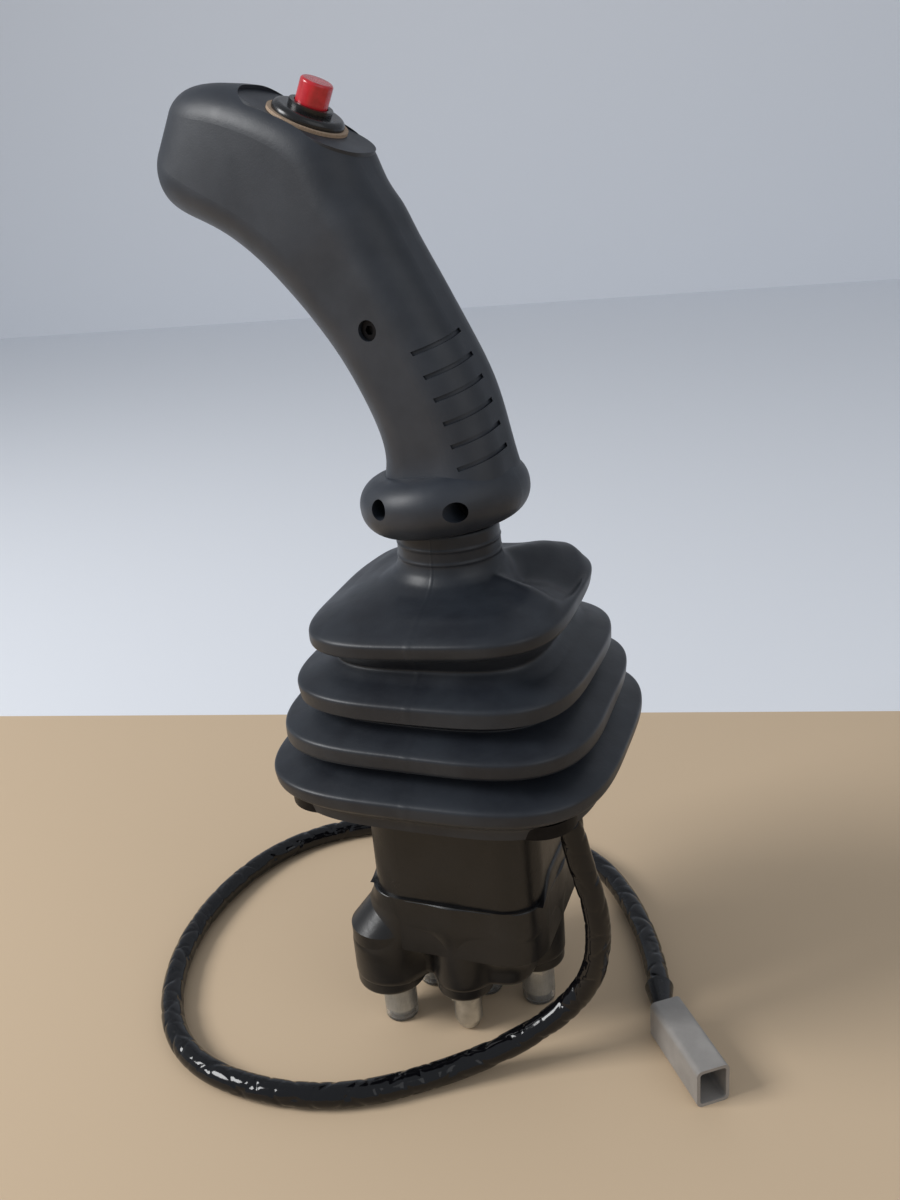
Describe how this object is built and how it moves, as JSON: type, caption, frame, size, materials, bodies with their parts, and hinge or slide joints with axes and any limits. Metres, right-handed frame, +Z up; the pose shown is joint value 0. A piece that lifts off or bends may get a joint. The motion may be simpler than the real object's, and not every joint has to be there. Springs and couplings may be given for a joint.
{
  "type": "hydraulic pilot joystick valve",
  "caption": "Hydraulic pilot control joystick: angled grip with push-button, folded square boot, valve body with port adapters, and a sleeved cable with connector.",
  "frame": {"origin": "on the valve's axis, at the underside of the mounting plate", "axes": "+Z up along the valve's axis; the head of the grip overhangs towards -X; the side push rods lie on X, the front and rear ones on Y"},
  "size_m": [0.2528, 0.2011, 0.3585],
  "materials": {
    "casing": "black semi-gloss",
    "port_casting": "black semi-gloss",
    "plate_steel": "black zinc, satin",
    "plain_steel": "ground",
    "zinc_steel": "bright zinc",
    "spring_steel": "spring wire",
    "boot_rubber": "matt with a soft sheen",
    "seal_rubber": "matt",
    "grip_plastic": "fine grain, blue black",
    "black_plastic": "smooth",
    "red_plastic": "smooth",
    "fibre": "fibre sheet",
    "clear_plastic": "clear moulded plastic",
    "sleeve_pvc": "glossy wrinkled sleeve",
    "wire_insulation": "orange brown",
    "connector_grey": "warm grey",
    "contact_tin": "tinned"
  },
  "bodies": {
    "valve": {"casing": "casing", "port_block": "port_casting", "mounting_plate": "plate_steel", "joint_bolts": "plate_steel", "plate_screws": "zinc_steel", "body_seal": "seal_rubber", "rod_wipers": "seal_rubber", "dust_caps": "clear_plastic", "lower_yoke": "plain_steel", "boot": "boot_rubber", "cable_sleeve": "sleeve_pvc", "grommet": "seal_rubber", "heat_shrink": "black_plastic", "wires": "wire_insulation", "connector_housing": "connector_grey", "connector_wedge": "connector_grey", "connector_pins": "contact_tin", "fitting_tank": "zinc_steel", "fitting_supply": "zinc_steel", "guide_left": "plain_steel", "return_spring_left": "spring_steel", "metering_spring_left": "spring_steel", "fitting_left": "zinc_steel", "guide_front": "plain_steel", "return_spring_front": "spring_steel", "metering_spring_front": "spring_steel", "fitting_front": "zinc_steel", "guide_right": "plain_steel", "return_spring_right": "spring_steel", "metering_spring_right": "spring_steel", "fitting_right": "zinc_steel", "guide_rear": "plain_steel", "return_spring_rear": "spring_steel", "metering_spring_rear": "spring_steel", "fitting_rear": "zinc_steel"},
    "cross": {"cross": "plain_steel"},
    "lever": {"upper_yoke": "plain_steel", "swash_disc": "plain_steel", "lock_nut": "zinc_steel", "lever_shaft": "plain_steel", "neck_bush": "black_plastic", "grip_left": "grip_plastic", "grip_right": "grip_plastic", "top_panel": "grip_plastic", "grip_screws": "plate_steel", "head_plug": "black_plastic", "button_housing": "black_plastic", "button_washer": "fibre", "button_nut": "zinc_steel"},
    "button": {"button_cap": "red_plastic"},
    "rod_left": {"push_rod_left": "plain_steel"},
    "spool_left": {"spool_left": "plain_steel"},
    "rod_front": {"push_rod_front": "plain_steel"},
    "spool_front": {"spool_front": "plain_steel"},
    "rod_right": {"push_rod_right": "plain_steel"},
    "spool_right": {"spool_right": "plain_steel"},
    "rod_rear": {"push_rod_rear": "plain_steel"},
    "spool_rear": {"spool_rear": "plain_steel"}
  },
  "joints": [
    {"name": "tilt_fore_aft", "type": "hinge", "parent": "valve", "child": "cross", "pos_m": [0, 0, 0.022], "axis": [0, 1, 0], "range_deg": [-17, 17], "stiffness_Nm_per_rad": 6, "deforming": ["boot", "return_spring_left", "metering_spring_left", "return_spring_right", "metering_spring_right"]},
    {"name": "tilt_side", "type": "hinge", "parent": "cross", "child": "lever", "pos_m": [0, 0, 0.022], "axis": [1, 0, 0], "range_deg": [-17, 17], "stiffness_Nm_per_rad": 6, "deforming": ["boot", "return_spring_front", "metering_spring_front", "return_spring_rear", "metering_spring_rear"]},
    {"name": "button_press", "type": "slide", "parent": "lever", "child": "button", "axis": [-0.4623, 0.0815, -0.8829], "range_m": [0, 0.0025], "stiffness_N_per_m": 1200},
    {"name": "rod_left_slide", "type": "slide", "parent": "valve", "child": "rod_left", "axis": [0, 0, 1], "range_m": [-0.0073, 0.0073]},
    {"name": "spool_left_slide", "type": "slide", "parent": "valve", "child": "spool_left", "axis": [0, 0, 1], "range_m": [-0.0015, 0.0015]},
    {"name": "rod_front_slide", "type": "slide", "parent": "valve", "child": "rod_front", "axis": [0, 0, 1], "range_m": [-0.0073, 0.0073]},
    {"name": "spool_front_slide", "type": "slide", "parent": "valve", "child": "spool_front", "axis": [0, 0, 1], "range_m": [-0.0015, 0.0015]},
    {"name": "rod_right_slide", "type": "slide", "parent": "valve", "child": "rod_right", "axis": [0, 0, 1], "range_m": [-0.0073, 0.0073]},
    {"name": "spool_right_slide", "type": "slide", "parent": "valve", "child": "spool_right", "axis": [0, 0, 1], "range_m": [-0.0015, 0.0015]},
    {"name": "rod_rear_slide", "type": "slide", "parent": "valve", "child": "rod_rear", "axis": [0, 0, 1], "range_m": [-0.0073, 0.0073]},
    {"name": "spool_rear_slide", "type": "slide", "parent": "valve", "child": "spool_rear", "axis": [0, 0, 1], "range_m": [-0.0015, 0.0015]}
  ],
  "couplings": [
    {"joint": "rod_left_slide", "follows": "tilt_fore_aft", "m_per_rad": 0.024},
    {"joint": "spool_left_slide", "follows": "tilt_fore_aft", "m_per_rad": 0.005},
    {"joint": "rod_front_slide", "follows": "tilt_side", "m_per_rad": -0.024},
    {"joint": "spool_front_slide", "follows": "tilt_side", "m_per_rad": -0.005},
    {"joint": "rod_right_slide", "follows": "tilt_fore_aft", "m_per_rad": -0.024},
    {"joint": "spool_right_slide", "follows": "tilt_fore_aft", "m_per_rad": -0.005},
    {"joint": "rod_rear_slide", "follows": "tilt_side", "m_per_rad": 0.024},
    {"joint": "spool_rear_slide", "follows": "tilt_side", "m_per_rad": 0.005}
  ]
}
